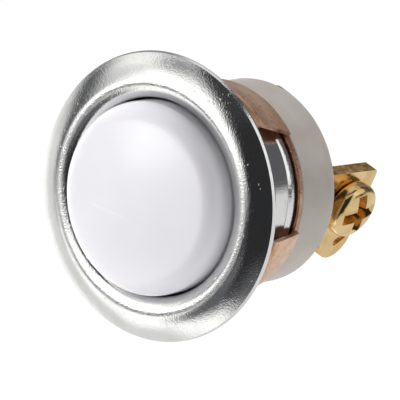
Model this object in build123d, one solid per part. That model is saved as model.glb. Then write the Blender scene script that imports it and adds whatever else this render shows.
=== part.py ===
from build123d import *
import math
import os

# Flush round push button for a door bell. The button's axis is Y and its front looks along -Y.
# The origin is on that axis in the plane of the wall, which is the back of the bezel's flange.
# All sizes are in millimetres.

# The bezel: one stamped and drawn sheet.
sheet = 0.30
flange_r = 11.10
rim_w = 0.30
slope_top_r = 9.20
slope_top_h = 1.12
crease_r = 8.78
crease_h = 1.22
lip_h = 0.90
throat_r = 7.58
barrel_r = 7.55
bead_r = 6.75
bead_y = 2.35
bead_rise = 1.00
bead_fall = 0.45
lip_bend_r = 0.50
barrel_end_y = 7.30
rear_rim_r = 6.40

# The cap: head, snap skirt and stem in one moulding.
head_gap = 0.08
head_side_h = 1.40
head_edge_r = 1.50
head_edge_steps = 3
dome_h = 3.25
dome_flat_r = 2.20
skirt_gap = 0.20
skirt_wall = 1.05
skirt_past_catch = 1.35
roof_t = 1.55
claw_out = 0.50
claw_gap = 0.06
claw_flat = 0.35
claw_count = 4
claw_first_deg = 45.0
claw_half_deg = 12.0
claw_slot_w = 0.55
claw_slot_len = 2.70
stem_r = 1.50
stem_past_disc = 1.45
stem_boss_r = 2.30

# How far the cap travels, and the contact set that ends the travel.
travel = 1.00
disc_t = 0.35
disc_r = 4.20
disc_bore_gap = 0.05
tip_r = 0.70
tip_h = 0.35
tip_off = 3.35

# The insulating base.
base_r = 7.85
base_len = 4.05
spigot_gap = 0.05
stake_r = 6.75
stake_h = 0.50
spring_pit_r = 2.30
spring_pit_depth = 2.50
base_edge = 0.18

# The grip clip: a flat ring with leaves bent forward beside the barrel.
clip_t = 0.35
clip_ring_r = 8.10
leaf_count = 3
leaf_root_deg = (34.3, 98.4)
leaf_crest_deg = (38.7, 99.2)
leaf_bend_r = 8.18
leaf_crest_r = 9.05
leaf_crest_y = 3.70
leaf_tip_r = 8.60
leaf_tip_y = 3.22
leaf_bend_in_r = 0.42
leaf_crest_in_r = 0.38

# The two terminals. Each plate stands off the axis on a line turned down from +X.
terminal_deg = -27.0
plate_t = 1.15
plate_face_off = 5.20
tongue_half_w = 1.80
tongue_gap = 0.03
blade_top_w = 3.45
blade_end_w = 3.15
blade_low_w = 2.70
blade_len = 7.85
foot_in_off = 2.45
foot_bend_r = 1.30
ear_r = 1.80
ear_w = 2.85
ear_y = 6.00
ear_slot_len = 1.35
ear_slot_w = 0.50
ear_slot_at = (3.02, 6.60)
ear_slot_deg = 125.0

# The terminal screws.
screw_w = -0.35
screw_y = 5.20
head_r = 2.50
head_h = 1.36
head_dome_h = 0.34
head_top_r = 1.92
shank_r = 1.25
shank_len = 3.60
thread_gap = 0.04
recess_arm = 0.62
recess_len = 2.80
recess_depth = 0.95
recess_deg = 35.0

# The return spring.
wire_r = 0.15
coil_r = 1.86
coil_turns = 3.0

# Sizes that follow from the ones above.
clip_y = barrel_end_y
base_front_y = clip_y + clip_t
base_rear_y = base_front_y + base_len
spigot_r = rear_rim_r - spigot_gap
spigot_front_y = barrel_end_y - sheet - stake_h
foot_front_y = spigot_front_y - plate_t
tip_front_y = foot_front_y - tip_h
bore_r = barrel_r - sheet
cap_r = throat_r - head_gap
skirt_r = bead_r - skirt_gap
head_under_y = -0.10
disc_y = tip_front_y - travel - disc_t
claw_r = skirt_r + claw_out
catch_y = bead_y + bead_fall * (claw_r - bead_r) / (bore_r - bead_r) + claw_gap
skirt_end_y = catch_y + skirt_past_catch
spring_seat_y = spigot_front_y + spring_pit_depth


def turned(face):
    """A solid of revolution about the button's axis, from a section drawn as radius against depth."""
    return revolve(face, Axis.Y, 360)


def bent(line, bends):
    """A line whose bends are cut into chords, given as {corner: (radius, number of chords)}."""
    points = [line[0]]
    for i, corner in enumerate(line[1:-1], 1):
        radius, chords = bends.get(i, (0, 0))
        back = (line[i - 1] - corner).normalized()
        on = (line[i + 1] - corner).normalized()
        half = math.radians(back.get_angle(on) / 2)
        centre = corner + (back + on).normalized() * (radius / math.sin(half))
        first = corner + back * (radius / math.tan(half)) - centre
        turn = math.copysign(180 - 2 * math.degrees(half), back.X * on.Y - back.Y * on.X)
        for k in range(chords + 1):
            points.append(centre + first.rotate(Axis.Z, -turn * k / chords) if chords else corner)
    return points + [line[-1]]


def band(points, bends, thickness):
    """A sheet's section: a bent line, and the same line moved to its right by the thickness.

    Each bend is {corner: (radius, chords on the line, chords on the moved line)}."""
    line = [Vector(*p) for p in points]
    ways = [(b - a).normalized() for a, b in zip(line, line[1:])]
    sides = [Vector(w.Y, -w.X) for w in ways]
    moved = [line[0] + sides[0] * thickness]
    near, far = {}, {}
    for i, (before, after) in enumerate(zip(sides, sides[1:]), 1):
        moved.append(line[i] + (before + after) * (thickness / (1 + before.dot(after))))
        if i in bends:
            radius, near_chords, far_chords = bends[i]
            turn = before.X * after.Y - before.Y * after.X
            near[i] = (radius, near_chords)
            far[i] = (radius + math.copysign(thickness, turn), far_chords)
    moved.append(line[-1] + sides[-1] * thickness)
    return section(bent(line, near) + bent(moved, far)[::-1])


def section(points):
    """A plain section with straight sides."""
    return make_face(Polyline(*points, close=True))


def washer(inner, outer, front, rear):
    """A ring about the axis, or a plain disc if it has no hole."""
    return turned(section([(inner, front), (outer, front), (outer, rear), (inner, rear)]))


def about_axis(shape, degrees):
    """A shape turned about the button's axis, from +X towards +Z."""
    return Rot(0, -degrees, 0) * shape


# The bezel runs from the flange's flat rim, up the dished slope and over the crest, down the throat,
# round the inward bead that holds the cap, and along the barrel to its turned-in rear rim.
def make_bezel():
    line = [
        (flange_r, -sheet),
        (flange_r - rim_w, -sheet),
        (slope_top_r, -slope_top_h),
        (crease_r, -crease_h),
        (throat_r, -lip_h),
        (throat_r, bead_y - bead_rise),
        (bead_r, bead_y),
        (bore_r, bead_y + bead_fall),
        (bore_r, barrel_end_y - sheet),
        (rear_rim_r, barrel_end_y - sheet),
    ]
    bends = {4: (lip_bend_r, 2, 0)}
    return turned(band(line, bends, sheet))


# The cap is hollow under its dome. Its skirt is slit beside each claw, so that the claws spring
# in past the bead and snap out behind it.
def make_cap():
    edge_at = cap_r - head_edge_r
    rise = dome_h - head_side_h
    dome_r = (edge_at**2 + rise**2 - head_edge_r**2) / (2 * (rise - head_edge_r))
    meet = math.asin(edge_at / (dome_r - head_edge_r))
    dome_low = dome_h - dome_r

    outline = [(0, head_under_y), (cap_r, head_under_y)]
    for i in range(head_edge_steps + 1):
        angle = meet + (math.pi / 2 - meet) * (1 - i / head_edge_steps)
        outline.append((edge_at + head_edge_r * math.sin(angle), -head_side_h - head_edge_r * math.cos(angle)))
    flat_y = -dome_low - math.sqrt(dome_r**2 - dome_flat_r**2)
    head = turned(section(outline + [(dome_flat_r, flat_y), (0, flat_y)]))
    skirt_in_r = skirt_r - skirt_wall
    roof_y = roof_t - dome_h
    skirt = washer(skirt_in_r, skirt_r, roof_y, skirt_end_y)
    hollow = washer(0, skirt_in_r, roof_y, head_under_y + 1)
    boss = washer(0, stem_boss_r, roof_y - 0.2, disc_y)
    tip_y = disc_y + disc_t + stem_past_disc
    stem = washer(0, stem_r, roof_y - 0.2, tip_y)
    mid_r = skirt_r - skirt_wall / 2
    claw_ring = turned(
        section(
            [
                (mid_r, catch_y),
                (claw_r, catch_y),
                (claw_r, catch_y + claw_flat),
                (skirt_r, skirt_end_y),
                (mid_r, skirt_end_y),
            ]
        )
    )
    body = head + skirt - hollow + boss + stem
    half_w = cap_r * math.tan(math.radians(claw_half_deg))
    wedge = Rot(90, 0, 0) * extrude(section([(0, 0), (cap_r, half_w), (cap_r, -half_w)]), cap_r, both=True)
    slot_y = skirt_end_y - claw_slot_len / 2
    slot = Pos((skirt_in_r + skirt_r) / 2, slot_y, 0) * Box(2 * skirt_wall, claw_slot_len, claw_slot_w)
    slot_deg = claw_half_deg + math.degrees(claw_slot_w / 2 / skirt_r)
    for i in range(claw_count):
        at = claw_first_deg + i * 360 / claw_count
        body += claw_ring & about_axis(wedge, at)
        body -= about_axis(slot, at - slot_deg)
        body -= about_axis(slot, at + slot_deg)
    return body


# The moving contact is a plain washer on the stem, pushed against the stem's boss by the spring.
def make_contact_disc():
    return washer(stem_r + disc_bore_gap, disc_r, disc_y, disc_y + disc_t)


# The return spring stands in the base's pit and bears on the contact disc.
def make_spring():
    front = disc_y + disc_t
    rise = math.hypot(coil_r, wire_r) / coil_r * wire_r
    height = spring_seat_y - front - 2 * rise
    path = Helix(pitch=height / coil_turns, height=height, radius=coil_r)
    wire = Plane(path @ 0, z_dir=path % 0) * RegularPolygon(wire_r, 6)
    coil = sweep(wire, path=path, is_frenet=True)
    return Pos(0, front + rise, 0) * Rot(-90, 0, 0) * coil


# The base: a short cylinder with a spigot that passes through the clip and the barrel's rear rim
# and is staked over inside. The pit holds the spring, and a slot on each side takes a terminal's tongue.
def make_base():
    solid = turned(
        section(
            [
                (0, spigot_front_y),
                (stake_r, spigot_front_y),
                (stake_r, spigot_front_y + stake_h),
                (spigot_r, spigot_front_y + stake_h),
                (spigot_r, base_front_y),
                (base_r, base_front_y),
                (base_r, base_rear_y),
                (0, base_rear_y),
            ]
        )
    )
    rear_rim = solid.edges().filter_by(GeomType.CIRCLE).sort_by(Axis.Y)[-1]
    solid = chamfer(rear_rim, base_edge)
    solid -= washer(0, spring_pit_r, spigot_front_y - 1, spring_seat_y)
    slot = Box(plate_t + 2 * tongue_gap, base_len * 3, 2 * (tongue_half_w + tongue_gap))
    slot = Pos(plate_face_off - plate_t / 2, base_front_y, 0) * slot
    for at in (terminal_deg, terminal_deg + 180):
        solid -= about_axis(slot, at)
    return solid


# One side of a leaf: everything on the leaf's side of the cut that runs from its root to its crest.
def leaf_side(root_deg, crest_deg, way):
    root_rad = math.radians(root_deg)
    crest_rad = math.radians(crest_deg)
    out = Vector(math.cos(root_rad), 0, math.sin(root_rad))
    root = out * clip_ring_r + Vector(0, clip_y, 0)
    crest = Vector(leaf_crest_r * math.cos(crest_rad), leaf_crest_y, leaf_crest_r * math.sin(crest_rad))
    across = out.cross(crest - root)
    if across.dot(Vector(-out.Z, 0, out.X)) * way < 0:
        across = across * -1
    reach = 4 * leaf_crest_r
    low = (Align.CENTER, Align.CENTER, Align.MIN)
    return Plane(root, x_dir=out, z_dir=across) * Box(reach, reach, reach, align=low)


# The grip clip: the ring lies between the barrel and the base. Each leaf rises outwards as it runs
# forward, to a crest that presses on the wall of the hole, and its tip is bent back in.
def make_clip():
    rear = clip_y + clip_t
    ring = washer(rear_rim_r, clip_ring_r, clip_y, rear)
    line = [
        (clip_ring_r - 0.45, rear),
        (leaf_bend_r, rear),
        (leaf_crest_r, leaf_crest_y),
        (leaf_tip_r, leaf_tip_y),
    ]
    bends = {1: (leaf_bend_in_r, 1, 0), 2: (leaf_crest_in_r, 1, 0)}
    hoop = turned(band(line, bends, clip_t))
    leaf = hoop & leaf_side(leaf_root_deg[0], leaf_crest_deg[0], 1)
    leaf = leaf & leaf_side(leaf_root_deg[1], leaf_crest_deg[1], -1)
    clip = ring
    for i in range(leaf_count):
        clip += about_axis(leaf, i * 360 / leaf_count)
    return clip


# One terminal: a blade behind the base, a tongue through its slot, and a foot bent over inside it.
# It is drawn with its face square to +X and its width along -Z, and then turned into place.
def make_terminal():
    inner = plate_face_off - plate_t
    side_view = [
        (plate_face_off, foot_front_y),
        (plate_face_off, base_rear_y + 0.5),
        (inner, base_rear_y + 0.5),
        (inner, spigot_front_y),
        (foot_in_off, spigot_front_y),
        (foot_in_off, foot_front_y),
    ]
    tongue = extrude(section(side_view), tongue_half_w, both=True)
    corner = Vector(plate_face_off, foot_front_y, 0)
    bend = [e for e in tongue.edges().filter_by(Axis.Z) if (e.center() - corner).length < 1e-6]
    tongue = fillet(bend, foot_bend_r)
    low = base_rear_y
    high = base_rear_y + blade_len
    outline = section([(-blade_top_w, low), (blade_low_w, low), (blade_low_w, high), (-blade_end_w, high)])
    outline += Pos(ear_w, low + ear_y) * Circle(ear_r)
    slot = SlotOverall(ear_slot_len, ear_slot_w)
    outline -= Pos(ear_slot_at[0], low + ear_slot_at[1]) * Rot(0, 0, ear_slot_deg) * slot
    outline -= Pos(screw_w, low + screw_y) * Circle(shank_r + thread_gap)
    blade = Pos(inner, 0, 0) * Rot(0, 90, 0) * extrude(outline, plate_t)
    return tongue + blade


# The fixed contact: a low round tip welded to the front of a foot.
def make_contact_tip():
    return Pos(tip_off, tip_front_y + tip_h / 2, 0) * Rot(90, 0, 0) * Cylinder(tip_r, tip_h)


# A terminal screw: a low domed head with a cross recess, on a plain shank that stands for the thread.
def make_screw():
    edge_h = head_h - head_dome_h
    solid = washer(0, shank_r, -shank_len, 0.2) + turned(
        section([(0, 0), (head_r, 0), (head_r, edge_h), (head_top_r, head_h), (0, head_h)])
    )
    arm = section(
        [
            (-recess_len / 2, head_h + 1),
            (recess_len / 2, head_h + 1),
            (recess_len / 2, head_h - 0.25),
            (0.45, head_h - recess_depth),
            (-0.45, head_h - recess_depth),
            (-recess_len / 2, head_h - 0.25),
        ]
    )
    arm = extrude(arm, recess_arm / 2, both=True)
    solid -= Rot(0, recess_deg, 0) * arm
    solid -= Rot(0, recess_deg + 90, 0) * arm
    return Pos(plate_face_off, base_rear_y + screw_y, -screw_w) * Rot(0, 0, -90) * solid


def write(node, shape, colour):
    """One solid to its own file."""
    solids = shape.solids()
    assert len(solids) == 1, (node, len(solids))
    solid = solids[0]
    solid.label = node
    solid.color = Color(*colour)
    export_step(solid, os.path.join("parts", node + ".step"))
    print(node, round(solid.volume, 3), solid.is_valid)


os.makedirs("parts", exist_ok=True)
write("bezel_shell", make_bezel(), (0.8, 0.8, 0.8))
write("button_cap", make_cap(), (0.9, 0.9, 0.92))
write("contact_disc", make_contact_disc(), (0.8, 0.65, 0.4))
write("return_spring", make_spring(), (0.6, 0.6, 0.6))
write("insulator_base", make_base(), (0.8, 0.79, 0.77))
write("grip_clip", make_clip(), (0.75, 0.5, 0.4))
for name, at in (("a", terminal_deg), ("b", terminal_deg + 180)):
    write("terminal_plate_" + name, about_axis(make_terminal(), at), (0.8, 0.65, 0.4))
    write("contact_tip_" + name, about_axis(make_contact_tip(), at), (0.8, 0.8, 0.8))
    write("terminal_screw_" + name, about_axis(make_screw(), at), (0.8, 0.65, 0.4))
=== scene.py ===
import math

import bmesh
import bpy
from mathutils import Matrix, Vector


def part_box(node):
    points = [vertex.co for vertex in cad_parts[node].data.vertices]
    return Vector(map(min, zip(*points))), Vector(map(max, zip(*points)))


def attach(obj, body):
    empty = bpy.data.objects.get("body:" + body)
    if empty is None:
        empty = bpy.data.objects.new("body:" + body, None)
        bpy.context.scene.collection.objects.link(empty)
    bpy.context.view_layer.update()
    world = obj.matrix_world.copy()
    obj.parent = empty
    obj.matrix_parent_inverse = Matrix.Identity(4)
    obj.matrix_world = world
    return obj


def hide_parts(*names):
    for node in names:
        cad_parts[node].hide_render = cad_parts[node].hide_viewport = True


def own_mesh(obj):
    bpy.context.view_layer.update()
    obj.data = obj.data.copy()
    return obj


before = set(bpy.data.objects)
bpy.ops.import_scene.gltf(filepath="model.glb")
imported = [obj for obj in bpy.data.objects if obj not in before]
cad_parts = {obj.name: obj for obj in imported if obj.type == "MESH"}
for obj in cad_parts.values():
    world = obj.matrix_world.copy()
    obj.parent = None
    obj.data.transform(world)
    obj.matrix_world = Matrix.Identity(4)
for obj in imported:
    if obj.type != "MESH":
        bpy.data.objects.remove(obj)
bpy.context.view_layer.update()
mm = 0.001
mergeWithin = 4e-7              # vertices this near, in metres, become one
planeWithin = 1e-8              # and this near a trimming plane they lie on it
creaseDeg = 32                  # an edge that turns more than this stays sharp
poles = {"a": -27, "b": 153}    # where the terminals stand about the axis, from +X towards +Z
print("scene: frame loaded,", len(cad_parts), "nodes")


# Mesh helpers. Outlines are drawn flat, as (radius, depth) in millimetres, and spun about the Y axis.

def drawLine(bm, points, close=False):
    verts = [bm.verts.new((a * mm, b * mm, 0)) for a, b in points]
    for pair in zip(verts, verts[1:]):
        bm.edges.new(pair)
    if close:
        bm.edges.new((verts[-1], verts[0]))
    return verts


def roundCorner(bm, vert, radius, segments=5):
    ways = [(e.other_vert(vert).co - vert.co).normalized() for e in vert.link_edges]
    reach = radius * mm / math.tan(ways[0].angle(ways[1]) / 2)
    bmesh.ops.bevel(bm, geom=[vert], offset=reach, offset_type="OFFSET", affect="VERTICES",
                    segments=segments, profile=0.5, material=-1)


def drawArc(bm, vert, centre, degrees, steps):
    made = bmesh.ops.spin(bm, geom=[vert], cent=(centre[0] * mm, centre[1] * mm, 0),
                          axis=(0, 0, 1), angle=math.radians(degrees), steps=steps,
                          use_merge=False, use_duplicate=False)
    return [g for g in made["geom_last"] if isinstance(g, bmesh.types.BMVert)][0]


def spinRound(bm, steps):
    bmesh.ops.spin(bm, geom=bm.verts[:] + bm.edges[:], cent=(0, 0, 0), axis=(0, 1, 0),
                   angle=math.tau, steps=steps, use_merge=True, use_duplicate=False)
    tidyMesh(bm)


def spinPart(bm, fromDeg, toDeg, steps):
    # angles run from +X towards +Z
    bmesh.ops.transform(bm, matrix=aboutAxis(fromDeg), verts=bm.verts[:])
    bmesh.ops.spin(bm, geom=allOf(bm), cent=(0, 0, 0), axis=(0, 1, 0),
                   angle=-math.radians(toDeg - fromDeg), steps=steps,
                   use_merge=False, use_duplicate=False)
    tidyMesh(bm)


def tidyMesh(bm):
    bmesh.ops.remove_doubles(bm, verts=bm.verts[:], dist=mergeWithin)
    bmesh.ops.recalc_face_normals(bm, faces=bm.faces[:])


def allOf(bm):
    return bm.verts[:] + bm.edges[:] + bm.faces[:]


def aboutAxis(degrees):
    return Matrix.Rotation(math.radians(-degrees), 4, "Y")


def thicken(bm, start, thickness):
    # extrudes flat faces along Z, from start
    made = bmesh.ops.extrude_face_region(bm, geom=bm.faces[:])
    lifted = [g for g in made["geom"] if isinstance(g, bmesh.types.BMVert)]
    bmesh.ops.translate(bm, vec=(0, 0, thickness * mm), verts=lifted)
    bmesh.ops.translate(bm, vec=(0, 0, start * mm), verts=bm.verts[:])


def addTo(target, bm, matrix=Matrix()):
    # copies one bmesh into another, placed by the matrix
    held = bpy.data.meshes.new("held")
    bm.to_mesh(held)
    held.transform(matrix)
    target.from_mesh(held)
    bpy.data.meshes.remove(held)
    bm.free()


def shadeMesh(mesh, sharpDeg=creaseDeg):
    mesh.shade_smooth()
    mesh.set_sharp_from_angle(angle=math.radians(sharpDeg))


def makePiece(name, bm, materials):
    mesh = bpy.data.meshes.new(name)
    bm.to_mesh(mesh)
    bm.free()
    for material in materials:
        mesh.materials.append(material)
    shadeMesh(mesh)
    piece = bpy.data.objects.new(name, mesh)
    bpy.context.scene.collection.objects.link(piece)
    return piece


def putBack(piece, bm, sharpDeg=creaseDeg):
    # gives the piece its edited mesh
    bm.to_mesh(piece.data)
    bm.free()
    shadeMesh(piece.data, sharpDeg)


def softenEdges(piece, width):
    bevel = piece.modifiers.new("softEdges", "BEVEL")
    bevel.width = width * mm
    bevel.segments = 2
    bevel.limit_method = "ANGLE"
    bevel.angle_limit = math.radians(creaseDeg)
    bevel.harden_normals = True


def cutAway(piece, cutters):
    # takes each closed cutter out of the piece and keeps the result as its mesh
    for cutter in cutters:
        cut = piece.modifiers.new("cut", "BOOLEAN")
        cut.operation = "DIFFERENCE"
        cut.solver = "EXACT"
        cut.object = cutter
    bakeMesh(piece)
    for cutter in cutters:
        bpy.data.objects.remove(cutter)


def bakeMesh(piece):
    graph = bpy.context.evaluated_depsgraph_get()
    baked = bpy.data.meshes.new_from_object(piece.evaluated_get(graph), depsgraph=graph)
    piece.modifiers.clear()
    piece.data = baked
    shadeMesh(baked)


def makeCutter(bm, matrix=Matrix()):
    bmesh.ops.transform(bm, matrix=matrix, verts=bm.verts[:])
    tidyMesh(bm)
    return makePiece("cutter", bm, [])


def boxMesh(size, centre):
    bm = bmesh.new()
    bmesh.ops.create_cube(bm, size=1.0)
    bmesh.ops.scale(bm, vec=[s * mm for s in size], verts=bm.verts[:])
    bmesh.ops.translate(bm, vec=[c * mm for c in centre], verts=bm.verts[:])
    return bm


def settle(piece, body, slot, *nodes):
    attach(piece, body)
    if nodes:
        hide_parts(*nodes)


# Material helpers. Every pattern reads Object coordinates, in metres.

def newFinish(name, colour, metallic, roughness):
    material = bpy.data.materials.new(name)
    material.use_nodes = True
    shader = material.node_tree.nodes["Principled BSDF"]
    shader.inputs["Base Color"].default_value = (*colour, 1)
    shader.inputs["Metallic"].default_value = metallic
    shader.inputs["Roughness"].default_value = roughness
    return material, material.node_tree, shader


def noiseNode(tree, scale, detail=3.0, stretch=(1, 1, 1), turnDeg=0.0):
    coords = tree.nodes.new("ShaderNodeTexCoord")
    mapping = tree.nodes.new("ShaderNodeMapping")
    mapping.inputs["Scale"].default_value = stretch
    mapping.inputs["Rotation"].default_value = (0, math.radians(turnDeg), 0)
    noise = tree.nodes.new("ShaderNodeTexNoise")
    noise.inputs["Scale"].default_value = scale
    noise.inputs["Detail"].default_value = detail
    tree.links.new(coords.outputs["Object"], mapping.inputs["Vector"])
    tree.links.new(mapping.outputs["Vector"], noise.inputs["Vector"])
    return noise.outputs["Fac"]


def feed(tree, shader, socket, source):
    tree.links.new(source, shader.inputs[socket])


def ramp(tree, source, low, high, colourLow, colourHigh):
    node = tree.nodes.new("ShaderNodeValToRGB")
    node.color_ramp.elements[0].position = low
    node.color_ramp.elements[1].position = high
    node.color_ramp.elements[0].color = (*colourLow, 1)
    node.color_ramp.elements[1].color = (*colourHigh, 1)
    tree.links.new(source, node.inputs["Fac"])
    return node.outputs["Color"]


def spread(tree, source, low, high, outLow, outHigh):
    node = tree.nodes.new("ShaderNodeMapRange")
    ends = {"From Min": low, "From Max": high, "To Min": outLow, "To Max": outHigh}
    for socket, value in ends.items():
        node.inputs[socket].default_value = value
    tree.links.new(source, node.inputs["Value"])
    return node.outputs["Result"]


def bump(tree, shader, height, distance, strength=1.0, under=None):
    node = tree.nodes.new("ShaderNodeBump")
    node.inputs["Distance"].default_value = distance
    node.inputs["Strength"].default_value = strength
    tree.links.new(height, node.inputs["Height"])
    if under is not None:
        tree.links.new(under, node.inputs["Normal"])
    feed(tree, shader, "Normal", node.outputs["Normal"])
    return node.outputs["Normal"]


def combine(tree, operation, first, second):
    node = tree.nodes.new("ShaderNodeMath")
    node.operation = operation
    for socket, value in zip(node.inputs, (first, second)):
        if isinstance(value, float):
            socket.default_value = value
        else:
            tree.links.new(value, socket)
    return node.outputs[0]


def smoothStep(tree, value, start, end):
    node = tree.nodes.new("ShaderNodeMapRange")
    node.interpolation_type = "SMOOTHSTEP"
    node.inputs["From Min"].default_value = start
    node.inputs["From Max"].default_value = end
    tree.links.new(value, node.inputs["Value"])
    return node.outputs["Result"]


def card(tree, place, look):
    # a soft-edged patch on a flat place, laid by its centre, half sizes, turn and soft edge
    across, along, halfWidth, halfHeight, turned, blur = look[:6]
    local = tree.nodes.new("ShaderNodeMapping")
    local.vector_type = "TEXTURE"
    local.inputs["Location"].default_value = (across, along, 0)
    local.inputs["Rotation"].default_value = (0, 0, math.radians(turned))
    local.inputs["Scale"].default_value = (halfWidth, halfHeight, 1)
    tree.links.new(place, local.inputs["Vector"])
    split = tree.nodes.new("ShaderNodeSeparateXYZ")
    tree.links.new(local.outputs["Vector"], split.inputs[0])
    sides = []
    for axis, half in (("X", halfWidth), ("Y", halfHeight)):
        away = combine(tree, "ABSOLUTE", split.outputs[axis], 0.0)
        sides.append(smoothStep(tree, away, 1 + blur / half, 1 - blur / half))
    return combine(tree, "MULTIPLY", *sides)


def mixColours(tree, factor, first, second):
    node = tree.nodes.new("ShaderNodeMix")
    node.data_type = "RGBA"
    tree.links.new(factor, node.inputs["Factor"])
    tree.links.new(first, node.inputs[6])
    node.inputs[7].default_value = (*second, 1)
    return node.outputs[2]


def glowWithin(shader, weight, radius, scale):
    shader.inputs["Subsurface Weight"].default_value = weight
    shader.inputs["Subsurface Radius"].default_value = radius
    shader.inputs["Subsurface Scale"].default_value = scale


def axisDistance(tree):
    coords = tree.nodes.new("ShaderNodeTexCoord")
    flat = tree.nodes.new("ShaderNodeVectorMath")
    flat.operation = "MULTIPLY"
    flat.inputs[1].default_value = (1, 0, 1)
    tree.links.new(coords.outputs["Object"], flat.inputs[0])
    away = tree.nodes.new("ShaderNodeVectorMath")
    away.operation = "LENGTH"
    tree.links.new(flat.outputs["Vector"], away.inputs[0])
    return away.outputs["Value"]


def frontPlace(tree):
    # where a point lies as seen square from the front, in millimetres
    coords = tree.nodes.new("ShaderNodeTexCoord")
    split = tree.nodes.new("ShaderNodeSeparateXYZ")
    flat = tree.nodes.new("ShaderNodeCombineXYZ")
    tree.links.new(coords.outputs["Object"], split.inputs[0])
    for axis, socket in (("X", "X"), ("Z", "Y")):
        tree.links.new(combine(tree, "MULTIPLY", split.outputs[axis], 1000.0), flat.inputs[socket])
    return flat.outputs[0]


def nickelPlate():
    look = {
        "bright": (0.84, 0.84, 0.83), "dull": (0.75, 0.75, 0.74), "smooth": 0.05, "matt": 0.14,
        "haze": 420, "hazeDepth": 0.00002, "drawn": 1500, "drawnStretch": (0.12, 1, 0.12),
        "drawnDepth": 0.00003, "peel": 8500, "peelDepth": 0.000012,
        "pits": 3300, "pitsFrom": (0.72, 0.78), "pitsDepth": 0.000012,
    }
    material, tree, shader = newFinish("nickelPlate", look["bright"], 1.0, 0.1)
    haze = noiseNode(tree, look["haze"], 4.0)
    feed(tree, shader, "Roughness", spread(tree, haze, 0.35, 0.7, look["smooth"], look["matt"]))
    feed(tree, shader, "Base Color", ramp(tree, haze, 0.3, 0.75, look["bright"], look["dull"]))
    wave = bump(tree, shader, haze, look["hazeDepth"], 0.3)
    drawn = noiseNode(tree, look["drawn"], 2.0, stretch=look["drawnStretch"])
    wave = bump(tree, shader, drawn, look["drawnDepth"], 0.5, wave)
    peel = bump(tree, shader, noiseNode(tree, look["peel"], 2.0), look["peelDepth"], 1.0, wave)
    pits = spread(tree, noiseNode(tree, look["pits"], 1.0), *look["pitsFrom"], 0.0, 1.0)
    bump(tree, shader, pits, look["pitsDepth"], 0.6, peel)
    return material


def capGloss():
    # the scratch is a card: centre, half sizes, turn and soft edge, in millimetres
    look = {
        "light": (0.87, 0.86, 0.90), "dark": (0.85, 0.84, 0.88), "smooth": 0.10, "matt": 0.19,
        "grain": 900, "cloud": 260, "cloudDepth": 0.00002,
        "scratch": (-2.35, -1.0, 1.9, 0.03, -14.5, 0.11), "worn": (0.94, 0.93, 0.96), "wear": 1400,
        "within": (0.15, (1.0, 0.8, 0.8), 0.0006),
    }
    material, tree, shader = newFinish("capGloss", look["light"], 0.0, 0.15)
    cloud = noiseNode(tree, look["cloud"], 3.0)
    wear = combine(tree, "MULTIPLY", card(tree, frontPlace(tree), look["scratch"]),
                   spread(tree, noiseNode(tree, look["wear"], 2.0), 0.35, 0.6, 0.3, 1.0))
    clean = ramp(tree, cloud, 0.3, 0.7, look["dark"], look["light"])
    feed(tree, shader, "Base Color", mixColours(tree, wear, clean, look["worn"]))
    grain = noiseNode(tree, look["grain"], 4.0)
    feed(tree, shader, "Roughness", spread(tree, grain, 0.3, 0.8, look["smooth"], look["matt"]))
    glowWithin(shader, *look["within"])
    bump(tree, shader, cloud, look["cloudDepth"], 0.2)
    return material


def milkyPlastic():
    look = {
        "colour": (0.52, 0.475, 0.43), "dark": (0.47, 0.425, 0.38), "light": (0.565, 0.525, 0.485),
        "smooth": 0.3, "matt": 0.46, "mottle": 330, "skin": 2600, "skinDepth": 0.000012,
        "within": (0.3, (1.0, 0.9, 0.8), 0.0014),
    }
    material, tree, shader = newFinish("milkyPlastic", look["colour"], 0.0, 0.36)
    mottle = noiseNode(tree, look["mottle"], 4.0)
    feed(tree, shader, "Base Color", ramp(tree, mottle, 0.3, 0.72, look["dark"], look["light"]))
    feed(tree, shader, "Roughness", spread(tree, mottle, 0.3, 0.7, look["smooth"], look["matt"]))
    glowWithin(shader, *look["within"])
    bump(tree, shader, noiseNode(tree, look["skin"], 3.0), look["skinDepth"], 0.3)
    return material


# the stain lies in specks, and painted shade darkens the crease beside the barrel, by the distance from
# the axis in metres
bronze = {
    "stain": (0.13, 0.055, 0.03), "mottle": 420, "specks": 3800, "speckLevel": 0.75,
    "paintedCreaseShade": (0.00757, 0.00763), "smooth": 0.22, "matt": 0.42,
}


def clipBronze(name, light, dark, depth, scale, metallic=0.78):
    material, tree, shader = newFinish(name, light, metallic, 0.34)
    grain = noiseNode(tree, scale, 4.0)
    tint = ramp(tree, noiseNode(tree, bronze["mottle"], 4.0), 0.32, 0.68, dark, light)
    specks = spread(tree, noiseNode(tree, bronze["specks"], 3.0), 0.60, 0.72, 0.0, bronze["speckLevel"])
    # painted shade: the crease where the ring meets the barrel is darkened, by the distance from the
    # axis
    paintedCreaseShade = spread(tree, axisDistance(tree), *bronze["paintedCreaseShade"], 1.0, 0.0)
    # the stain colour marks the real specks and also paints the shade in the crease
    stainedAndShaded = mixColours(tree, combine(tree, "MAXIMUM", specks, paintedCreaseShade), tint, bronze["stain"])
    feed(tree, shader, "Base Color", stainedAndShaded)
    feed(tree, shader, "Roughness", spread(tree, grain, 0.25, 0.75, bronze["smooth"], bronze["matt"]))
    bump(tree, shader, grain, depth, 0.6)
    return material


# the grain follows the blades, which stand turned about the axis
brass = {"turnDeg": 27.0, "stain": 620, "mattShare": 2.3}


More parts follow.
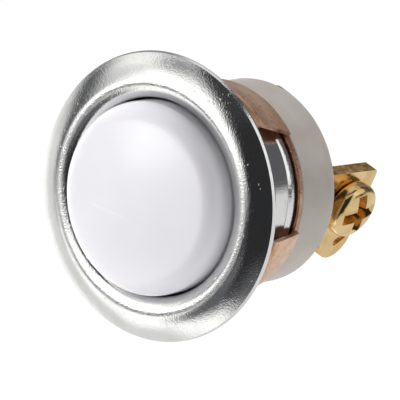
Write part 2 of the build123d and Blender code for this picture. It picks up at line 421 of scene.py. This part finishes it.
def stampedBrass(name, light, dark, stretch, depth, scale, smooth, edge=(1, 1, 1)):
    material, tree, shader = newFinish(name, light, 1.0, 0.24)
    shader.inputs["Specular Tint"].default_value = (*edge, 1)
    grain = noiseNode(tree, scale, 5.0, stretch=stretch, turnDeg=brass["turnDeg"])
    stain = noiseNode(tree, brass["stain"], 4.0)
    both = combine(tree, "ADD", spread(tree, stain, 0.3, 0.7, 0.0, 0.5),
                   spread(tree, grain, 0.35, 0.65, 0.0, 0.5))
    feed(tree, shader, "Base Color", ramp(tree, both, 0.15, 0.85, dark, light))
    feed(tree, shader, "Roughness", spread(tree, grain, 0.3, 0.75, smooth, smooth * brass["mattShare"]))
    bump(tree, shader, grain, depth, 0.5)
    return material


def plainMetal(name, light, dark, roughness):
    # rolled or drawn metal for the parts that the housing hides
    look = {"streak": 1300, "stretch": (1, 0.3, 1), "share": (0.8, 1.3)}
    material, tree, shader = newFinish(name, light, 1.0, roughness)
    streak = noiseNode(tree, look["streak"], 3.0, stretch=look["stretch"])
    feed(tree, shader, "Base Color", ramp(tree, streak, 0.3, 0.7, dark, light))
    ends = [roughness * share for share in look["share"]]
    feed(tree, shader, "Roughness", spread(tree, streak, 0.3, 0.7, *ends))
    return material


# light and dark colour first, then what each helper asks for
finish = {
    "nickel": nickelPlate(),
    "cap": capGloss(),
    "base": milkyPlastic(),
    "clip": clipBronze("clipBronze", (0.85, 0.57, 0.39), (0.56, 0.31, 0.18), 0.00003, 1500),
    "clipEdge": clipBronze("clipEdge", (0.72, 0.45, 0.31), (0.36, 0.17, 0.10), 0.0001, 2800),
    # painted light: a redder, less metallic copy of the bronze for the faces in shade under the leaves
    "clipInnerPaintedLight": clipBronze("clipInnerPaintedLight", (0.85, 0.45, 0.32), (0.60, 0.28, 0.18), 0.00003, 1500, 0.2),
    "brass": stampedBrass("stampedBrass", (0.85, 0.63, 0.33), (0.70, 0.47, 0.20),
                          (1, 1, 1), 0.00004, 1100, 0.10),
    "sheared": stampedBrass("shearedBrass", (1.0, 0.76, 0.44), (0.42, 0.24, 0.09),
                            (0.7, 1, 1), 0.00016, 3400, 0.28, (0.80, 0.55, 0.28)),
    "screw": stampedBrass("pressedBrass", (0.88, 0.66, 0.35), (0.66, 0.44, 0.18),
                          (1, 1, 1), 0.00016, 700, 0.11),
    "disc": plainMetal("rolledBrass", (0.86, 0.67, 0.36), (0.74, 0.54, 0.26), 0.25),
    "spring": plainMetal("springWire", (0.62, 0.61, 0.60), (0.48, 0.47, 0.46), 0.3),
    "tip": plainMetal("silverTip", (0.90, 0.89, 0.86), (0.78, 0.77, 0.74), 0.22),
}
print("scene: materials made")


# The bezel: the front line of the drawn sheet, spun and given its thickness.
bezel = {
    "line": [
        (11.10, -0.30), (11.00, -0.30), (10.70, -0.495), (10.30, -0.720), (9.80, -0.955),
        (9.45, -1.085), (9.20, -1.150), (9.05, -1.178), (8.75, -1.195), (8.50, -1.173),
        (8.20, -1.104), (7.95, -0.992), (7.75, -0.812), (7.62, -0.58), (7.58, -0.20),
        (7.58, 1.35), (6.75, 2.35), (7.25, 2.80), (7.25, 6.02), (7.17, 6.24),
        (7.17, 6.36), (7.24, 6.54), (7.25, 6.60), (7.25, 6.80), (7.25, 7.00), (6.40, 7.00),
    ],
    "bends": {15: 0.30, 16: 0.30, 17: 0.20, 24: 0.08},
    "sheet": 0.30, "steps": 256, "sharpDeg": 24,
    "rimFrom": -0.10, "rimWidth": 0.02, "rimDepth": 0.05,
}


def buildBezel():
    bm = bmesh.new()
    corners = drawLine(bm, bezel["line"])
    for i, radius in bezel["bends"].items():
        roundCorner(bm, corners[i], radius)
    spinRound(bm, bezel["steps"])
    # faces are turned to the front, so that the sheet grows towards the wall and outwards
    flange = max(bm.faces, key=lambda f: f.calc_center_median().x)
    if flange.normal.y > 0:
        bmesh.ops.reverse_faces(bm, faces=bm.faces[:])
    piece = makePiece("bezelSkin", bm, [finish["nickel"]])
    wall = piece.modifiers.new("sheet", "SOLIDIFY")
    wall.thickness = bezel["sheet"] * mm
    wall.offset = -1
    wall.use_even_offset = True
    bakeMesh(piece)
    # the rim's front edge is turned over, so that it catches a bright line
    whole = bmesh.new()
    whole.from_mesh(piece.data)
    bmesh.ops.bisect_plane(whole, geom=allOf(whole), dist=planeWithin,
                           plane_co=(0, bezel["rimFrom"] * mm, 0), plane_no=(0, 1, 0))
    rim, edge = bezel["line"][0][0], bezel["line"][1][0]
    outside = (rim - bezel["rimWidth"]) * mm
    before = (bezel["rimFrom"] - bezel["rimDepth"]) * mm
    for v in whole.verts:
        if math.hypot(v.co.x, v.co.z) > outside and v.co.y < before:
            v.co.x *= edge / rim
            v.co.z *= edge / rim
    tidyMesh(whole)
    putBack(piece, whole, bezel["sharpDeg"])
    settle(piece, "housing", "bezel_metal", "bezel_shell")


buildBezel()
print("scene: bezel made")


# The cap: a spun head, skirt and stem, with the slit skirt's eight fingers, four of them hooked.
cap = {
    "radius": 7.42, "under": -0.10, "side": -1.40, "edge": 1.50, "dome": -3.25, "domeRadius": 53.10,
    "skirt": 6.55, "inner": 5.50, "roof": -1.70, "slits": 1.33, "end": 4.03, "catch": 2.68,
    "hook": 7.05, "hookFlat": 0.35, "boss": (2.30, 3.65), "stem": (1.50, 5.45),
    "fingersFrom": 1.25, "fingers": ((33, 57, True), (61.8, 118.2, False)), "fingerSteps": 24,
    "arcSteps": 16, "steps": 256,
}


def buildCap():
    bm = bmesh.new()
    edgeAt = cap["radius"] - cap["edge"]
    meet = math.degrees(math.asin(edgeAt / (cap["domeRadius"] - cap["edge"])))
    top = drawLine(bm, [(0, cap["dome"])])[0]
    rim = drawArc(bm, top, (0, cap["dome"] + cap["domeRadius"]), meet, cap["arcSteps"])
    side = drawArc(bm, rim, (edgeAt, cap["side"]), 90 - meet, cap["arcSteps"])
    rest = drawLine(bm, [
        (cap["radius"], cap["under"]), (cap["skirt"], cap["under"]),
        (cap["skirt"], cap["slits"]), (cap["inner"], cap["slits"]),
        (cap["inner"], cap["roof"]), (cap["boss"][0], cap["roof"]), cap["boss"],
        (cap["stem"][0], cap["boss"][1]), cap["stem"], (0, cap["stem"][1]),
    ])
    bm.edges.new((side, rest[0]))
    spinRound(bm, cap["steps"])
    for quarter in (0, 90, 180, 270):
        for fromDeg, toDeg, hooked in cap["fingers"]:
            line = [(cap["inner"], cap["fingersFrom"]), (cap["skirt"], cap["fingersFrom"])]
            if hooked:
                line += [(cap["skirt"], cap["catch"]), (cap["hook"], cap["catch"]),
                         (cap["hook"], cap["catch"] + cap["hookFlat"])]
            line += [(cap["skirt"], cap["end"]), (cap["inner"], cap["end"])]
            finger = bmesh.new()
            bmesh.ops.contextual_create(finger, geom=drawLine(finger, line))
            spinPart(finger, fromDeg + quarter, toDeg + quarter, cap["fingerSteps"])
            addTo(bm, finger)
    piece = makePiece("capMoulding", bm, [finish["cap"]])
    settle(piece, "button", "cap_plastic", "button_cap")


buildCap()
print("scene: cap made")


# The base: a spun plug with a rounded rim, cut for the spring's pit and the two tongues.
base = {
    "line": [(0, 6.50), (6.75, 6.50), (6.75, 7.00), (6.35, 7.00), (6.35, 7.65), (7.85, 7.65),
             (7.85, 11.84), (0, 11.84)],
    "bends": {1: 0.12, 5: 0.14, 6: 0.42},
    "pit": (2.30, 5.00, 9.00), "pitSteps": 64,
    "slot": (1.21, 8, 3.66), "slotAt": (4.625, 9.1, 0), "steps": 192,
}


def buildBase():
    bm = bmesh.new()
    corners = drawLine(bm, base["line"])
    for i, radius in base["bends"].items():
        roundCorner(bm, corners[i], radius, 6)
    spinRound(bm, base["steps"])
    piece = makePiece("basePlug", bm, [finish["base"]])
    radius, start, floor = base["pit"]
    pit = bmesh.new()
    drawLine(pit, [(0, start), (radius, start), (radius, floor), (0, floor)])
    spinRound(pit, base["pitSteps"])
    cutters = [makeCutter(pit)]
    for at in poles.values():
        cutters.append(makeCutter(boxMesh(base["slot"], base["slotAt"]), aboutAxis(at)))
    cutAway(piece, cutters)
    settle(piece, "housing", "base_plastic", "insulator_base")


buildBase()
print("scene: base made")


# The clip: a flat ring, and three leaves trimmed along the lines from their roots to their crests.
clip = {
    "ring": (6.40, 7.80, 7.30, 7.65), "sheet": 0.35, "leaves": 3,
    "line": [(7.70, 7.65), (8.18, 7.65), (9.05, 3.70), (8.60, 3.22)], "bends": {1: 0.42, 2: 0.38},
    "root": (34.3, 98.4), "crest": (38.7, 99.2), "rootRadius": 8.10, "crestAt": (9.05, 3.70),
    "sweep": (25, 110), "steps": 48, "ringSteps": 128, "soft": 0.04,
    "ringWithin": 0.02, "innerFrom": -0.5, "sideFrom": 0.7,
}


def trimLeaf(bm, rootDeg, crestDeg, way):
    root = math.radians(rootDeg)
    crest = math.radians(crestDeg)
    out = Vector((math.cos(root), 0, math.sin(root)))
    rootPoint = out * clip["rootRadius"] + Vector((0, clip["ring"][2], 0))
    radius, depth = clip["crestAt"]
    crestPoint = Vector((radius * math.cos(crest), depth, radius * math.sin(crest)))
    across = out.cross(crestPoint - rootPoint)
    if across.dot(Vector((-out.z, 0, out.x))) * way < 0:
        across.negate()
    bmesh.ops.bisect_plane(bm, geom=allOf(bm), dist=planeWithin,
                           plane_co=rootPoint * mm, plane_no=across, clear_inner=True)


def buildClip():
    bm = bmesh.new()
    inner, outer, front, rear = clip["ring"]
    drawLine(bm, [(inner, front), (outer, front), (outer, rear), (inner, rear)], close=True)
    spinRound(bm, clip["ringSteps"])
    for i in range(clip["leaves"]):
        leaf = bmesh.new()
        corners = drawLine(leaf, clip["line"])
        for j, radius in clip["bends"].items():
            roundCorner(leaf, corners[j], radius)
        spinPart(leaf, *clip["sweep"], clip["steps"])
        trimLeaf(leaf, clip["root"][0], clip["crest"][0], 1)
        trimLeaf(leaf, clip["root"][1], clip["crest"][1], -1)
        middle = max(leaf.faces, key=lambda f: f.calc_area())
        outwards = Vector((middle.calc_center_median().x, 0, middle.calc_center_median().z))
        if middle.normal.dot(outwards) < 0:
            bmesh.ops.reverse_faces(leaf, faces=leaf.faces[:])
        bmesh.ops.solidify(leaf, geom=leaf.faces[:], thickness=clip["sheet"] * mm)
        tidyMesh(leaf)
        addTo(bm, leaf, aboutAxis(360 / clip["leaves"] * i))
    # what faces the barrel has the inner finish, a redder, less metallic copy of the bronze
    # that paints light into the shade under the leaves, and the leaves' sides and the rest of the ring
    # have the edge finish
    for face in bm.faces:
        centre = face.calc_center_median()
        around = Vector((-centre.z, 0, centre.x)).normalized()
        out = Vector((centre.x, 0, centre.z)).normalized()
        ring = Vector((centre.x, centre.z)).length < (outer + clip["ringWithin"]) * mm
        if face.normal.dot(out) < clip["innerFrom"]:
            face.material_index = 2
        elif ring or abs(face.normal.dot(around)) > clip["sideFrom"]:
            face.material_index = 1
    piece = makePiece("clipLeaves", bm, [finish["clip"], finish["clipEdge"], finish["clipInnerPaintedLight"]])
    softenEdges(piece, clip["soft"])
    settle(piece, "housing", "clip_bronze", "grip_clip")


buildClip()
print("scene: clip made")


# The terminals: a stamped blade with a slotted ear, its tongue and bent foot, and a cross-head screw.
terminal = {
    "face": 5.20, "thickness": 1.15, "rear": 11.70,
    "blade": [(-3.45, 0), (2.70, 0), (2.70, 4.206)],
    "ear": (2.85, 6.00), "earTurn": 189.6, "earSteps": 28,
    "top": [(2.70, 7.85), (-3.15, 7.85)], "earSlot": (3.02, 6.60, 1.40, 0.70, 125),
    "tongue": [(5.20, 5.35), (5.20, 12.20), (4.05, 12.20), (4.05, 6.50), (2.45, 6.50), (2.45, 5.35)],
    "tongueWidth": 3.60, "footBend": 1.30, "footSteps": 8, "corner": 0.35,
    "hole": 1.29, "holeSides": 48, "slotSides": 24, "cutDepth": 6, "soft": 0.07,
}
screw = {
    "at": (-0.35, 5.20), "head": 2.26, "side": 1.20, "top": 1.75,
    "crown": [(0.78, 0.20), (0.40, 0.03)],      # share of the head's radius, and drop below its top
    "rounding": {4: (6.0, 3), 3: (1.2, 4), 2: (0.50, 6), 1: (0.42, 5)}, "steps": 96,
    "cross": (4.00, 1.02, 1.25), "crossDeg": 12, "crossTaper": (0.42, 0.50), "crossOver": 0.1,
    "dents": [(1.10, 1.25, 1.1, 0.16), (-1.80, -0.60, 0.7, 0.12), (0.75, -1.60, 0.9, 0.12)],
    "dentsFrom": 0.06, "dentSides": (32, 20),
    "shank": 1.04, "shankFrom": 0.1, "point": 0.20, "length": 3.60, "shankSteps": 48,
    "crest": 1.25, "pitch": 0.45, "threadHalf": 0.18, "threadFrom": 0.25, "sunk": 0.05,
    "turns": 7, "turnSteps": 36, "soft": 0.05,
}


def slotCutter(width, depth, length, height, degrees):
    # a round-ended slot, drawn in the blade's own plane as (width, depth behind the base)
    bm = bmesh.new()
    bmesh.ops.create_circle(bm, segments=terminal["slotSides"], radius=height / 2 * mm, cap_ends=False)
    half = (length - height) / 2 * mm
    for v in bm.verts:
        v.co.x += half if v.co.x >= 0 else -half
    bmesh.ops.contextual_create(bm, geom=bm.edges[:])
    thicken(bm, -2, 4)
    place = Matrix.Translation((width * mm, depth * mm, 0))
    turn = Matrix.Rotation(math.radians(degrees), 4, "Z")
    bmesh.ops.transform(bm, matrix=place @ turn, verts=bm.verts[:])
    return bm


def bladePlace(at):
    # from the blade's plane, as (width, depth, thickness), to its place beside the axis
    rows = Matrix(((0, 0, 1, 0), (0, 1, 0, 0), (-1, 0, 0, 0), (0, 0, 0, 1)))
    return aboutAxis(at) @ rows


def buildPlate(letter):
    at = poles[letter]
    rear = terminal["rear"]
    inner = terminal["face"] - terminal["thickness"]
    bm = bmesh.new()
    low = drawLine(bm, [(w, rear + y) for w, y in terminal["blade"]])
    ear = (terminal["ear"][0], rear + terminal["ear"][1])
    earEnd = drawArc(bm, low[-1], ear, terminal["earTurn"], terminal["earSteps"])
    top = drawLine(bm, [(w, rear + y) for w, y in terminal["top"]])
    bm.edges.new((earEnd, top[0]))
    bm.edges.new((top[-1], low[0]))
    roundCorner(bm, top[-1], terminal["corner"])
    bmesh.ops.contextual_create(bm, geom=bm.edges[:])
    thicken(bm, inner, terminal["thickness"])
    tidyMesh(bm)
    for face in bm.faces:
        face.material_index = 0 if abs(face.normal.z) > 0.5 else 1
    piece = makePiece("plate" + letter.upper(), bm, [finish["brass"], finish["sheared"]])
    w, y, length, height, degrees = terminal["earSlot"]
    hole = bmesh.new()
    holeRadius = terminal["hole"] * mm
    bmesh.ops.create_cone(hole, cap_ends=True, segments=terminal["holeSides"],
                          radius1=holeRadius, radius2=holeRadius, depth=terminal["cutDepth"] * mm)
    across, along = screw["at"]
    bmesh.ops.translate(hole, vec=(across * mm, (rear + along) * mm, inner * mm),
                        verts=hole.verts[:])
    slit = slotCutter(w, rear + y, length, height, degrees)
    bmesh.ops.translate(slit, vec=(0, 0, inner * mm), verts=slit.verts[:])
    cutAway(piece, [makeCutter(hole), makeCutter(slit)])
    whole = bmesh.new()
    whole.from_mesh(piece.data)
    bmesh.ops.transform(whole, matrix=bladePlace(at), verts=whole.verts[:])
    tongue = bmesh.new()
    corners = drawLine(tongue, terminal["tongue"], close=True)
    roundCorner(tongue, corners[0], terminal["footBend"], terminal["footSteps"])
    bmesh.ops.contextual_create(tongue, geom=tongue.edges[:])
    thicken(tongue, -terminal["tongueWidth"] / 2, terminal["tongueWidth"])
    tidyMesh(tongue)
    addTo(whole, tongue, aboutAxis(at))
    putBack(piece, whole)
    softenEdges(piece, terminal["soft"])
    settle(piece, "housing", "terminal_brass", "terminal_plate_" + letter)


def buildScrew(letter):
    # drawn about Y as (radius, height), then laid along the plate's outward line
    bm = bmesh.new()
    head, top = screw["head"], screw["top"]
    crown = [(head * share, top - drop) for share, drop in screw["crown"]]
    corners = drawLine(bm, [(0, 0), (head, 0), (head, screw["side"]), *crown, (0, top)])
    for i, (radius, segments) in screw["rounding"].items():
        roundCorner(bm, corners[i], radius, segments)
    spinRound(bm, screw["steps"])
    width, arm, depth = screw["cross"]
    over = screw["crossOver"]
    cutters = []
    for turned in (0, 90):
        bar = boxMesh((width, depth + over, arm), (0, top + over - (depth + over) / 2, 0))
        for v in bar.verts:
            if v.co.y < (top - depth / 2) * mm:
                v.co.x *= screw["crossTaper"][0]
                v.co.z *= screw["crossTaper"][1]
        turn = Matrix.Rotation(math.radians(turned + screw["crossDeg"]), 4, "Y")
        cutters.append(makeCutter(bar, turn))
    for x, z, radius, sunk in screw["dents"]:
        ball = bmesh.new()
        around, down = screw["dentSides"]
        bmesh.ops.create_uvsphere(ball, u_segments=around, v_segments=down, radius=radius * mm)
        y = top - screw["dentsFrom"] - sunk + radius
        cutters.append(makeCutter(ball, Matrix.Translation((x * mm, y * mm, z * mm))))
    piece = makePiece("screw" + letter.upper(), bm, [finish["screw"]])
    cutAway(piece, cutters)
    whole = bmesh.new()
    whole.from_mesh(piece.data)
    shank = bmesh.new()
    start, end = screw["shankFrom"], -screw["length"]
    drawLine(shank, [(0, start), (screw["shank"], start), (screw["shank"], screw["point"] + end),
                     (screw["shank"] - screw["point"], end), (0, end)])
    spinRound(shank, screw["shankSteps"])
    addTo(whole, shank)
    thread = bmesh.new()
    low = screw["threadFrom"] + end
    root, half = screw["shank"] - screw["sunk"], screw["threadHalf"]
    drawLine(thread, [(root, low - half), (screw["crest"], low), (root, low + half)], close=True)
    bmesh.ops.contextual_create(thread, geom=thread.edges[:])
    bmesh.ops.spin(thread, geom=allOf(thread), cent=(0, 0, 0), axis=(0, 1, 0),
                   angle=math.tau * screw["turns"], steps=screw["turnSteps"] * screw["turns"],
                   dvec=(0, screw["pitch"] * mm / screw["turnSteps"], 0),
                   use_merge=False, use_duplicate=False)
    tidyMesh(thread)
    addTo(whole, thread)
    across, along = screw["at"]
    place = (terminal["face"] * mm, (terminal["rear"] + along) * mm, -across * mm)
    lay = Matrix.Translation(place) @ Matrix.Rotation(math.radians(-90), 4, "Z")
    bmesh.ops.transform(whole, matrix=aboutAxis(poles[letter]) @ lay, verts=whole.verts[:])
    putBack(piece, whole)
    softenEdges(piece, screw["soft"])
    settle(piece, "screw_" + letter, "screw_brass", "terminal_screw_" + letter)


for letter in poles:
    buildPlate(letter)
    buildScrew(letter)
print("scene: terminals made")


# The spring: round wire on a helix from the contact disc to the pit's floor.
spring = {"coil": 1.86, "wire": 0.15, "wireSides": 12, "turns": 3, "turnSteps": 48, "travel": 1.00}


def buildSpring():
    front, seat = (corner[1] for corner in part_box("return_spring"))
    wire = spring["wire"] * mm
    steps = spring["turns"] * spring["turnSteps"]
    bm = bmesh.new()
    bmesh.ops.create_circle(bm, segments=spring["wireSides"], radius=wire, cap_ends=True)
    bmesh.ops.translate(bm, vec=(spring["coil"] * mm, front + wire, 0), verts=bm.verts[:])
    bmesh.ops.spin(bm, geom=allOf(bm), cent=(0, 0, 0), axis=(0, 1, 0),
                   angle=math.tau * spring["turns"], steps=steps,
                   dvec=(0, (seat - front - 2 * wire) / steps, 0), use_merge=False, use_duplicate=False)
    tidyMesh(bm)
    piece = makePiece("coilSpring", bm, [finish["spring"]])
    settle(piece, "housing", "spring_steel", "return_spring")
    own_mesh(piece)


buildSpring()
print("scene: spring made")


# The other hidden working parts keep their own shapes.
inside = {"contact_disc": "disc", "contact_tip_a": "tip", "contact_tip_b": "tip"}
for node, look in inside.items():
    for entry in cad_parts[node].material_slots:
        entry.material = finish[look]
print("scene: inner parts finished")


# The studio: a pale floor, soft lamps, and a white surround with dark patches for the metal to mirror.
studio = {
    "floor": -0.026, "floorSize": 4.0, "floorColour": (0.93, 0.93, 0.93),
    "floorGlow": 1.04, "floorShare": 0.88, "ambient": 0.32, "surround": 0.8,
    "cool": (0.93, 0.94, 1.0), "warm": (1.0, 1.0, 0.985), "tintFrom": (0.05, 0.85),
}


def addFloor():
    # the camera sees the floor mostly as an even glow, so that it stays as pale as the photo's ground
    bm = bmesh.new()
    bmesh.ops.create_grid(bm, x_segments=1, y_segments=1, size=studio["floorSize"])
    bmesh.ops.translate(bm, vec=(0, 0, studio["floor"]), verts=bm.verts[:])
    material, tree, shader = newFinish("paleFloor", studio["floorColour"], 0.0, 0.7)
    glow = tree.nodes.new("ShaderNodeEmission")
    glow.inputs["Strength"].default_value = studio["floorGlow"]
    mix = tree.nodes.new("ShaderNodeMixShader")
    path = tree.nodes.new("ShaderNodeLightPath")
    share = combine(tree, "MULTIPLY", path.outputs["Is Camera Ray"], studio["floorShare"])
    tree.links.new(share, mix.inputs["Fac"])
    tree.links.new(shader.outputs[0], mix.inputs[1])
    tree.links.new(glow.outputs[0], mix.inputs[2])
    tree.links.new(mix.outputs[0], tree.nodes["Material Output"].inputs["Surface"])
    floor = makePiece("floor", bm, [material])
    floor.visible_glossy = False


# What the metal mirrors, each card laid over those before it:
# azimuth, height, half width, half height, turn and soft edge in degrees, then its level.
surround = {
    "leftGrey": (-60, -5, 12, 10, 0, 5, 0.48),
    "leftDark": (-69, 10.9, 19, 8.0, -40, 4, 0.11),
    "leftDarkEnd": (-55, -6, 6, 2.8, -15, 3, 0.18),
    "upperGlow": (-58, 34, 13, 6, 22, 3, 1.15),
    "lowGlow": (-50, -28, 16, 16, -12, 4, 1.3),
    "window": (-28, 13, 18, 16, 0, 4, 1.4),
    "windowCore": (-34.3, 1.3, 6.0, 3.9, 14, 3.0, 5.4),
    "middle": (-39, -9, 7, 3, 0, 3, 0.65),
    "topGrey": (-36, 40, 10, 5, 0, 3, 0.3),
    "lowLine": (-38, -13.6, 10, 2.6, 0, 1.4, 0.05),
    "lowDark": (-13, -36, 24, 12, -20, 3.5, 0.14),
    "midDark": (-10, -14, 14, 9, 0, 4, 0.07),
    "rightDark": (35, -2, 43, 40, 0, 4, 0.03),
    "upDark": (-4, 42, 14, 20, 38, 3, 0.05),
    "floorGlow": (-25, -54, 20, 9, -5, 2.5, 1.25),
    "cornerDark": (14, -42, 12, 9, 0, 4, 0.12),
    "rearDark": (157, 28, 24, 32, 0, 3, 0.12),
    "sideGlow": (107, 31, 22, 28, 0, 5, 1.05),
    "highDark": (60, 68, 60, 13, 0, 4, 0.1),
    "leftWhite": (-112, 0, 17, 60, 0, 4, 1.2),
    "backGrey": (-146, 28, 34, 34, 0, 6, 0.3),
    "streakEnd": (118, -5, 16, 5, 0, 2, 0.08),
}


def lightWorld():
    # mirrors see the surround, the camera plain white, and all else an even light
    world = bpy.data.worlds.new("surround")
    bpy.context.scene.world = world
    world.use_nodes = True
    tree = world.node_tree
    tree.nodes.clear()
    coords = tree.nodes.new("ShaderNodeTexCoord")
    split = tree.nodes.new("ShaderNodeSeparateXYZ")
    tree.links.new(coords.outputs["Generated"], split.inputs[0])
    forward = combine(tree, "MULTIPLY", split.outputs["Y"], -1.0)
    turn = combine(tree, "ARCTAN2", split.outputs["X"], forward)
    azimuth = combine(tree, "MULTIPLY", turn, 180 / math.pi)
    rise = combine(tree, "ARCSINE", split.outputs["Z"], 0.0)
    height = combine(tree, "MULTIPLY", rise, 180 / math.pi)
    place = tree.nodes.new("ShaderNodeCombineXYZ")
    tree.links.new(azimuth, place.inputs["X"])
    tree.links.new(height, place.inputs["Y"])
    level = studio["surround"]
    for look in surround.values():
        blend = tree.nodes.new("ShaderNodeMapRange")
        if isinstance(level, float):
            blend.inputs["To Min"].default_value = level
        else:
            tree.links.new(level, blend.inputs["To Min"])
        blend.inputs["To Max"].default_value = look[6]
        tree.links.new(card(tree, place.outputs[0], look), blend.inputs["Value"])
        level = blend.outputs["Result"]
    path = tree.nodes.new("ShaderNodeLightPath")
    ambient = tree.nodes.new("ShaderNodeBackground")
    ambient.inputs["Strength"].default_value = studio["ambient"]
    shown = tree.nodes.new("ShaderNodeBackground")
    glossy = tree.nodes.new("ShaderNodeBackground")
    tree.links.new(level, glossy.inputs["Strength"])
    for node in (ambient, shown):
        node.inputs["Color"].default_value = (1, 1, 1, 1)
    tint = ramp(tree, level, *studio["tintFrom"], studio["cool"], studio["warm"])
    tree.links.new(tint, glossy.inputs["Color"])
    first = tree.nodes.new("ShaderNodeMixShader")
    second = tree.nodes.new("ShaderNodeMixShader")
    tree.links.new(path.outputs["Is Glossy Ray"], first.inputs["Fac"])
    tree.links.new(ambient.outputs[0], first.inputs[1])
    tree.links.new(glossy.outputs[0], first.inputs[2])
    seen = combine(tree, "MAXIMUM", path.outputs["Is Camera Ray"], path.outputs["Is Transmission Ray"])
    tree.links.new(seen, second.inputs["Fac"])
    tree.links.new(first.outputs[0], second.inputs[1])
    tree.links.new(shown.outputs[0], second.inputs[2])
    out = tree.nodes.new("ShaderNodeOutputWorld")
    tree.links.new(second.outputs[0], out.inputs["Surface"])


def towards(azimuth, height):
    a, h = math.radians(azimuth), math.radians(height)
    return Vector((math.sin(a) * math.cos(h), -math.cos(a) * math.cos(h), math.sin(h)))


# level is what a white surface square to the lamp gains from it
lamps = {
    "keyLamp": {"azimuth": -60, "height": 20, "distance": 0.8, "size": 0.45, "level": 0.81},
    "fillLamp": {"azimuth": 135, "height": 25, "distance": 0.8, "size": 0.5, "level": 0.04},
    "topLamp": {"azimuth": 180, "height": 68, "distance": 0.8, "size": 0.5, "level": 0.62},
}


def addLamps():
    for name, look in lamps.items():
        data = bpy.data.lights.new(name, "AREA")
        data.shape = "SQUARE"
        data.size = look["size"]
        data.energy = look["level"] * (math.pi * look["distance"]) ** 2
        lamp = bpy.data.objects.new(name, data)
        way = towards(look["azimuth"], look["height"])
        lamp.location = way * look["distance"]
        lamp.rotation_euler = way.to_track_quat("Z", "Y").to_euler()
        lamp.visible_glossy = False
        bpy.context.scene.collection.objects.link(lamp)


# the photo's view, moved to the right and up in metres
view = {
    "azimuth": 37.8, "height": 7.95, "distance": 0.7, "right": 0.003064, "up": -0.00028,
    "lens": 832.9, "sensor": 36, "near": 0.01,
}


def addCamera():
    data = bpy.data.cameras.new("photoCamera")
    data.lens = view["lens"]
    data.sensor_width = view["sensor"]
    data.clip_start = view["near"]
    camera = bpy.data.objects.new("photoCamera", data)
    back = towards(view["azimuth"], view["height"])
    right = Vector((0, 0, 1)).cross(back).normalized()
    up = back.cross(right)
    camera.location = back * view["distance"] + right * view["right"] + up * view["up"]
    camera.rotation_euler = Matrix((right, up, back)).transposed().to_euler()
    bpy.context.scene.collection.objects.link(camera)
    bpy.context.scene.camera = camera


addFloor()
lightWorld()
addLamps()
addCamera()
bpy.context.scene.view_settings.view_transform = "Standard"
print("scene: studio set")
